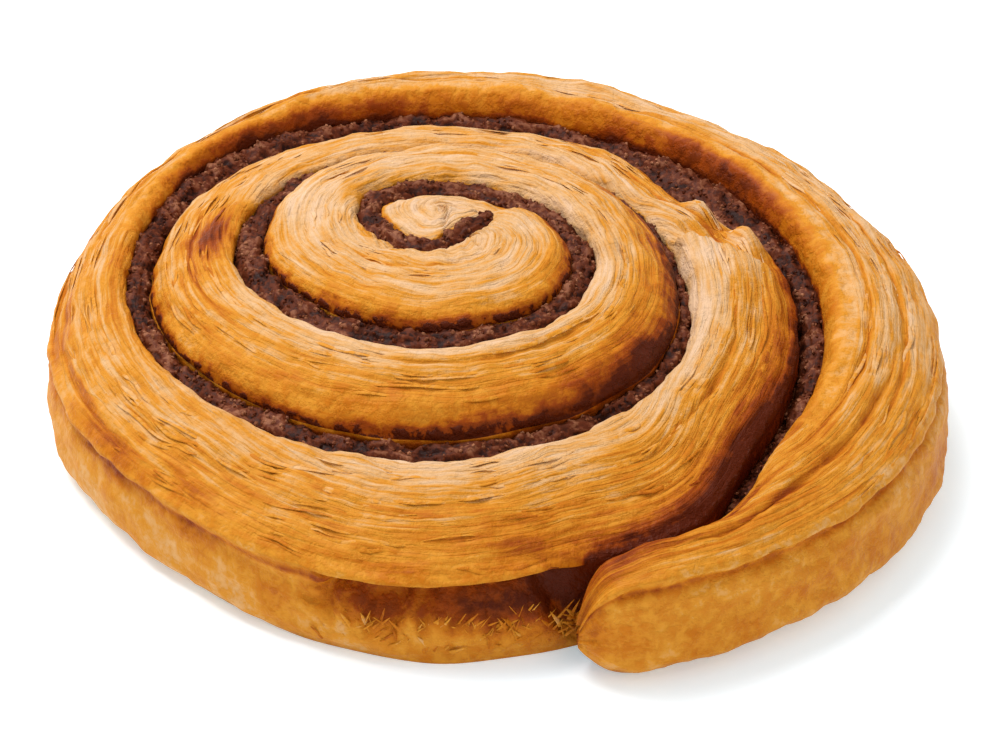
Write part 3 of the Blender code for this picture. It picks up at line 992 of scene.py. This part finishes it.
def filling_tree():
    """Lumps on the strip and sugar grains scattered over its top."""
    tree = GeometryTree("Sugary filling", (
        ("Lump height", "Float"),
        ("Grain size", "Float"),
        ("Grains per square metre", "Float"),
        ("Seed", "Int"),
        ("Filling", "Material"),
    ))
    given = tree.given
    place = tree.add("GeometryNodeInputPosition")
    relief = tree.named("relief")
    bumps = (tree.noise(place, 950.0, 2.0, 0.6) - 0.5) * 1.1 + (tree.noise(place, 300.0, 1.0) - 0.5) * 0.9
    base = tree.raised(tree.stored(given["Geometry"], "bumps", bumps), bumps * given["Lump height"] * relief)
    spots = tree.add("GeometryNodeDistributePointsOnFaces", None, {
        "Mesh": base,
        "Selection": tree.above(relief, 0.9),
        "Density": given["Grains per square metre"],
        "Seed": given["Seed"],
    })
    turned = tree.add("FunctionNodeRandomValue", {"data_type": "FLOAT_VECTOR"}, {
        "Min": (0.0, 0.0, 0.0), "Max": (math.tau, math.tau, math.tau), "Seed": 3,
    })
    stretch = tree.add("FunctionNodeRandomValue", {"data_type": "FLOAT_VECTOR"}, {
        "Min": (0.45, 0.40, 0.35), "Max": (1.25, 1.0, 0.9), "Seed": 5,
    })
    shade = tree.add("FunctionNodeRandomValue", {"data_type": "FLOAT"}, {
        "Min_001": 0.3, "Max_001": 1.0, "Seed": 8,
    }, 1)
    grains = tree.add("GeometryNodeInstanceOnPoints", None, {
        "Points": spots,
        "Instance": tree.add("GeometryNodeMeshIcoSphere", None, {"Radius": 1.0, "Subdivisions": 1}),
        "Rotation": tree.add("FunctionNodeEulerToRotation", None, {0: turned}),
        "Scale": tree.scaled(stretch, given["Grain size"]),
    })
    joined = tree.add("GeometryNodeJoinGeometry", None, {0: base})
    tree.set_inputs(joined.socket.node, {0: tree.stored(grains, "sugar", shade, "INSTANCE")})
    tree.end(joined, ("Filling", True))
    return tree


def filling_material(settings):
    """Dark cinnamon sugar with paler glossy grains, painted nearly black in the hollows as painted shade and
    paler on the lumps as a painted highlight.
    """
    made, tree, shader = material("cinnamon_filling")
    place = tree.add("ShaderNodeTexCoord", output="Object")
    sugar, bumps = tree.attributes("sugar", "bumps")
    cloud = tree.noise(place, 260.0, 3.0, 0.6)
    speck = tree.noise(place, 1300.0, 2.0, 0.6)
    tone = tree.smooth(cloud, 0.36, 0.64) * 0.28 + tree.smooth(speck, 0.38, 0.62) * 0.26
    # The lumps' relief is painted into the colour: darker in the hollows, painted shade, and paler on the
    # tops, a painted highlight.
    tone = tone + tree.smooth(bumps, -0.25, 0.3) * 0.30 + tree.smooth(sugar, 0.3, 1.0) * 0.34
    tree.set_inputs(shader, {
        "Base Color": tree.add("ShaderNodeValToRGB", {"stops": (
            (0.15, settings.dark_filling_and_hollow_shade),
            (0.50, settings.filling_colour),
            (1.00, settings.sugar_colour),
        )}, {0: tone}),
        "Roughness": 0.55 + (speck - 0.5) * 0.3,
        "Normal": tree.add("ShaderNodeBump", None, {"Strength": 0.6, "Distance": 0.0003, "Height": speck}),
        "Specular IOR Level": 0.10,
    })
    return made


def make_filling(settings):
    points, rows = filling_points()
    faces = clockwise(faces_between([row + row[:1] for row in rows]))
    faces += [rows[0], rows[-1][::-1]]
    return made_by(filling_tree(), new_piece("cinnamon_filling", points, [], faces), {
        "Lump height": settings.lump_height,
        "Grain size": settings.grain_size,
        "Grains per square metre": settings.grain_density,
        "Seed": settings.seed,
        "Filling": filling_material(settings),
    })


class Strands:
    """The paths of thin flakes, with their half widths, tilts and values."""

    def __init__(self):
        self.points = Points("half_width", "tilt", "bake")
        self.edges = []

    def add(self, path, run, across, half_widths, tilts, bake):
        """Adds a flake along a path in millimetres."""
        path = np.array(path)
        half_widths = 0.001 * np.array(half_widths)
        numbers = self.points.add(path[:, :2], path[:, 2], run, across, half_widths, tilts, bake)
        self.edges += zip(numbers, numbers[1:])


def band_width(turn):
    return np.hypot(*(outer_edge(turn) - inner_edge(turn)))


def surface_at(turn, v):
    """The place of the dough's top at a turn and share of the width, and its slope outward."""
    places, z, shares, width = top_of(turn, inner_edge(turn), outer_edge(turn), None)
    at = [np.interp(v, shares, values) for values in (places[:, 0], places[:, 1], z)]
    slope = (np.interp(v + 0.04, shares, z) - np.interp(v - 0.04, shares, z)) / max(0.08 * width, 0.1)
    return np.array(at), math.atan(slope)


def lay_flakes(strands, rng, count):
    """Scatters flakes along the turns of the coil."""
    for _ in range(count):
        turn = SEAM_START + 1.1 + (TAIL_END - SEAM_START - 1.2) * math.sqrt(rng.random())
        at_rim = 3.5 < turn < 4.15 and rng.random() < 0.22
        v = rng.uniform(0.95, 0.99) if at_rim else rng.uniform(0.12, 0.95)
        on_roll = ROLL_START < turn < ROLL_END and v < ROLL_SHARE
        if on_roll or syrup_on(turn, v, band_width(turn), True, 0.0) > 0.15:
            continue
        length = rng.uniform(6.0, 22.0)
        half_width = rng.uniform(0.22, 0.42) if at_rim else rng.uniform(0.12, 0.32)
        lift = rng.uniform(0.05, 0.15) if at_rim else 0.10
        lean = rng.uniform(-0.06, 0.06)
        steps = max(5, int(length / 1.1))
        path, widths, tilts, runs = [], [], [], []
        bend = rng.uniform(-0.2, 0.2)
        for i in range(steps + 1):
            f = i / steps
            here = turn + (f - 0.5) * length / np.hypot(*along(turn))
            if here > TAIL_END - 0.02:
                break
            share = v + lean * (f - 0.5) + 0.012 * math.sin(9 * f + 50 * v)
            at, slope = surface_at(here, min(max(share, 0.04), 0.96))
            at[2] += lift * math.sin(math.pi * f) - 0.06
            path.append(at)
            widths.append(half_width * math.sin(math.pi * (0.06 + 0.88 * f)) ** 0.7)
            tilts.append(slope + bend)
            runs.append(210.0 * here)
        if len(path) > 3:
            bake = top_bake_and_shade(turn, np.array([v]), 15.0, True)[0] + rng.uniform(-0.05, 0.12)
            strands.add(path, runs, 40.0 * v, widths, tilts, bake)


def stand_shards(strands, rng, count):
    """Torn shards along the foot of the front, where the crust has opened."""
    f = np.linspace(0.0, 1.0, 6)
    for _ in range(count):
        turn = SHARDS_START + SHARDS_LENGTH * rng.random() ** SHARDS_CROWDING
        out = outward(turn)
        way = along(turn) / np.hypot(*along(turn))
        start = seam_point(turn) - out * rng.uniform(0.2, 0.6)
        low = rng.uniform(1.8, 5.2)
        reach = rng.uniform(0.3, 1.0)
        slant = rng.choice((-1, 1)) * rng.uniform(0.5, 2.4)
        rise = rng.uniform(0.8, 3.0)
        half_width = rng.uniform(0.16, 0.42)
        turned = 0.5 * math.pi + rng.uniform(-0.5, 0.5)
        flat = start + np.outer(reach * (f - 0.25 * f * f), out) + np.outer(slant * f, way)
        path = np.column_stack([flat, low + rise * f])
        tilts = [turned + rng.uniform(-0.2, 0.2) for _ in f]
        widths = half_width * (1.0 - 0.96 * f) ** 0.8
        strands.add(path, 4.0 * f + 90.0 * turn, 30.0 * turn, widths, tilts, rng.uniform(0.36, 0.62))


def flake_tree():
    """Gives every path the section of a thin flake."""
    tree = GeometryTree("Flakes", (
        ("Thickness", "Float"),
        ("Ruffle", "Float"),
        ("Crust", "Material"),
    ))
    given = tree.given
    paths = tree.add("GeometryNodeMeshToCurve", None, {0: given["Geometry"]})
    upright = tree.add("GeometryNodeSetCurveNormal", {"mode": "Z_UP"}, {0: paths})
    flat = tree.add("GeometryNodeTransform", None, {
        "Geometry": tree.add("GeometryNodeCurvePrimitiveCircle", None, {"Resolution": 8, "Radius": 1.0}),
        "Scale": tree.vector(1.0, given["Thickness"], 1.0),
    })
    flakes = tree.add("GeometryNodeCurveToMesh", None, {
        "Curve": tree.add("GeometryNodeSetCurveTilt", None, {0: upright, "Tilt": tree.named("tilt")}),
        "Profile Curve": flat,
        "Scale": tree.named("half_width"),
        "Fill Caps": True,
    })
    ruffle = (tree.noise(tree.add("GeometryNodeInputPosition"), 700.0) - 0.5) * given["Ruffle"]
    tree.end(tree.raised(flakes, ruffle), ("Crust", True))
    return tree


def make_flakes(settings):
    rng = random.Random(settings.seed)
    strands = Strands()
    lay_flakes(strands, rng, settings.count)
    stand_shards(strands, rng, settings.shard_count)
    piece = made_by(flake_tree(), new_piece("torn_flakes", strands.points, strands.edges, []), {
        "Thickness": settings.thickness,
        "Ruffle": settings.ruffle,
        "Crust": bpy.data.materials["baked_dough"],
    })
    piece.data.shade_smooth()
    return piece


def length(name, description, default, **limits):
    return FloatProperty(name=name, description=description, default=default, unit="LENGTH", **limits)


def colour(name, description, default):
    return FloatVectorProperty(name=name, description=description, default=default, subtype="COLOR")


class DanishDough(PropertyGroup):
    layer_pitch: length("Layer pitch", "Usual distance between two layer edges", 0.0011, min=0.0003)
    layer_height: length("Layer height", "Height of a layer's edge", 0.00032, min=0.0)
    fibre_height: length("Fibre height", "Height of the fine fibres", 0.00022, min=0.0)
    lump_height: length("Lump height", "Height of the soft swellings", 0.0018, min=0.0)
    pale_dough: colour("Pale dough", "Colour in the fresh folds", (0.71, 0.465, 0.285))
    light_dough: colour("Light dough", "Colour of the light crust", (0.66, 0.372, 0.155))
    golden_dough: colour("Golden dough", "Colour of most of the crust", (0.63, 0.25, 0.020))
    amber_dough: colour("Amber dough", "Colour of the well baked crust", (0.51, 0.15, 0.005))
    brown_dough: colour("Brown dough", "Colour where the syrup ran", (0.29, 0.050, 0.002))
    dark_dough: colour("Dark dough", "Colour of the darkest crust", (0.085, 0.011, 0.001))


class DanishFilling(PropertyGroup):
    lump_height: length("Lump height", "Height of the filling's lumps", 0.0020, min=0.0)
    grain_size: length("Grain size", "Half the length of a sugar grain", 0.00036, min=0.0)
    grain_density: FloatProperty(
        name="Grain density", description="Sugar grains per square metre", default=800000.0, min=0.0)
    seed: IntProperty(name="Seed", description="Changes where the grains lie", default=4)
    dark_filling_and_hollow_shade: colour("Deep filling", "Colour in the hollows", (0.022, 0.004, 0.0015))
    filling_colour: colour("Filling", "Main colour of the filling", (0.112, 0.022, 0.006))
    sugar_colour: colour("Sugar", "Colour of the pale grains", (0.36, 0.150, 0.075))


class DanishFlakes(PropertyGroup):
    count: IntProperty(name="Flakes", description="How many flakes lie along the coil", default=560, min=0)
    shard_count: IntProperty(name="Shards", description="How many shards stand in front", default=150, min=0)
    seed: IntProperty(name="Seed", description="Changes where the flakes lie", default=11)
    thickness: FloatProperty(
        name="Thickness", description="Thickness of a flake as a share of its width", default=0.22, min=0.05)
    ruffle: length("Ruffle", "How uneven a flake is", 0.0003, min=0.0)


class DanishStage(PropertyGroup):
    elevation: FloatProperty(
        name="Camera elevation", description="How far the camera looks down", default=math.radians(31),
        subtype="ANGLE")
    distance: length("Camera distance", "From the camera to the pastry", 0.55)
    frame_width: length("Frame width", "Width that the picture takes in at the pastry", 0.126)
    floor_colour: colour("Floor", "Colour of the floor", (0.91, 0.93, 0.96))
    glow_colour: colour("Floor glow", "Colour of the light from below", (0.66, 0.92, 1.0))
    glow_strength: FloatProperty(
        name="Floor glow strength", description="How much the floor is lit from below", default=0.34, min=0.0)
    key_power: FloatProperty(
        name="Key light", description="Power of the main light", default=6.6, unit="POWER")
    sky_strength: FloatProperty(
        name="Sky", description="Strength of the light from all sides", default=0.62)


def ride_on_root(piece, slot, *nodes):
    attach(piece, "root")
    if nodes:
        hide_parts(*nodes)


class DANISH_OT_dough(Operator):
    """Makes the coiled laminated dough"""

    bl_idname = "danish.dough"
    bl_label = "Dough"

    def execute(self, context):
        ride_on_root(make_dough(context.scene.danish_dough), "dough", "dough")
        return {"FINISHED"}


class DANISH_OT_filling(Operator):
    """Makes the filling seam with its sugar grains"""

    bl_idname = "danish.filling"
    bl_label = "Filling"

    def execute(self, context):
        ride_on_root(make_filling(context.scene.danish_filling), "filling", "filling")
        return {"FINISHED"}


class DANISH_OT_flakes(Operator):
    """Makes the torn flakes and shards on the dough"""

    bl_idname = "danish.flakes"
    bl_label = "Flakes"

    def execute(self, context):
        ride_on_root(make_flakes(context.scene.danish_flakes), "dough")
        return {"FINISHED"}


class DANISH_OT_stage(Operator):
    """Makes the floor, the lights and the camera"""

    bl_idname = "danish.stage"
    bl_label = "Stage"

    def execute(self, context):
        make_stage(context.scene, context.scene.danish_stage)
        return {"FINISHED"}


def aimed_at(thing, target):
    thing.rotation_euler = (Vector(target) - thing.location).to_track_quat("-Z", "Y").to_euler()


def make_stage(scene, settings):
    """A pale floor, a soft key light from the upper left, light from all sides, and the photo's camera."""
    mesh = bpy.data.meshes.new("floor")
    half = FLOOR_HALF_WIDTH
    corners = [(-half, -half, 0), (half, -half, 0), (half, half, 0), (-half, half, 0)]
    mesh.from_pydata(corners, [], [(0, 1, 2, 3)])
    floor = bpy.data.objects.new("floor", mesh)
    scene.collection.objects.link(floor)
    made, tree, shader = material("studio_floor")
    tree.set_inputs(shader, {
        "Base Color": (*settings.floor_colour, 1.0),
        "Roughness": 0.9,
        "Specular IOR Level": 0.1,
        "Emission Color": (*settings.glow_colour, 1.0),
        "Emission Strength": settings.glow_strength,
    })
    mesh.materials.append(made)
    world = bpy.data.worlds.new("studio")
    world.use_nodes = True
    world.node_tree.nodes["Background"].inputs["Color"].default_value = (1.0, 1.0, 1.0, 1.0)
    world.node_tree.nodes["Background"].inputs["Strength"].default_value = settings.sky_strength
    scene.world = world
    for name, place, size, power in (
        ("key", (-0.28, 0.24, 0.70), 0.5, settings.key_power),
        ("fill", (0.3, -0.6, 0.5), 0.6, 0.15 * settings.key_power),
    ):
        light = bpy.data.lights.new(name, "AREA")
        light.size = size
        light.energy = power
        lamp = bpy.data.objects.new(name, light)
        lamp.location = place
        aimed_at(lamp, (0.0, 0.0, 0.01))
        scene.collection.objects.link(lamp)
    target = Vector((*COIL_MIDDLE * 0.001, 0.0)) + AIM
    lens = bpy.data.cameras.new("camera")
    lens.sensor_width = 36.0
    lens.lens = 36.0 * settings.distance / settings.frame_width
    camera = bpy.data.objects.new("camera", lens)
    back = Vector((0.0, -math.cos(settings.elevation), math.sin(settings.elevation)))
    camera.location = target + settings.distance * back
    camera.rotation_euler = (math.pi / 2 - settings.elevation, 0.0, 0.0)
    scene.collection.objects.link(camera)
    scene.camera = camera
    scene.view_settings.view_transform = "Standard"


class DANISH_PT_sidebar(Panel):
    """Lists the pieces of the danish"""

    bl_label = "Cinnamon danish"
    bl_space_type = "VIEW_3D"
    bl_region_type = "UI"
    bl_category = "Danish"

    def draw(self, context):
        for operator in ("dough", "filling", "flakes", "stage"):
            box = self.layout.box()
            settings = getattr(context.scene, f"danish_{operator}")
            for name in settings.__annotations__:
                box.prop(settings, name)
            box.operator(f"danish.{operator}")


SETTINGS = {
    "danish_dough": DanishDough,
    "danish_filling": DanishFilling,
    "danish_flakes": DanishFlakes,
    "danish_stage": DanishStage,
}
CLASSES = (
    *SETTINGS.values(),
    DANISH_OT_dough, DANISH_OT_filling, DANISH_OT_flakes, DANISH_OT_stage, DANISH_PT_sidebar,
)


def register():
    for made in CLASSES:
        bpy.utils.register_class(made)
    for name, group in SETTINGS.items():
        setattr(bpy.types.Scene, name, PointerProperty(type=group))


def unregister():
    for name in SETTINGS:
        delattr(bpy.types.Scene, name)
    for made in reversed(CLASSES):
        bpy.utils.unregister_class(made)


def main():
    register()
    bpy.ops.danish.stage()
    bpy.ops.danish.dough()
    bpy.ops.danish.filling()
    bpy.ops.danish.flakes()


if __name__ == "__main__":
    main()
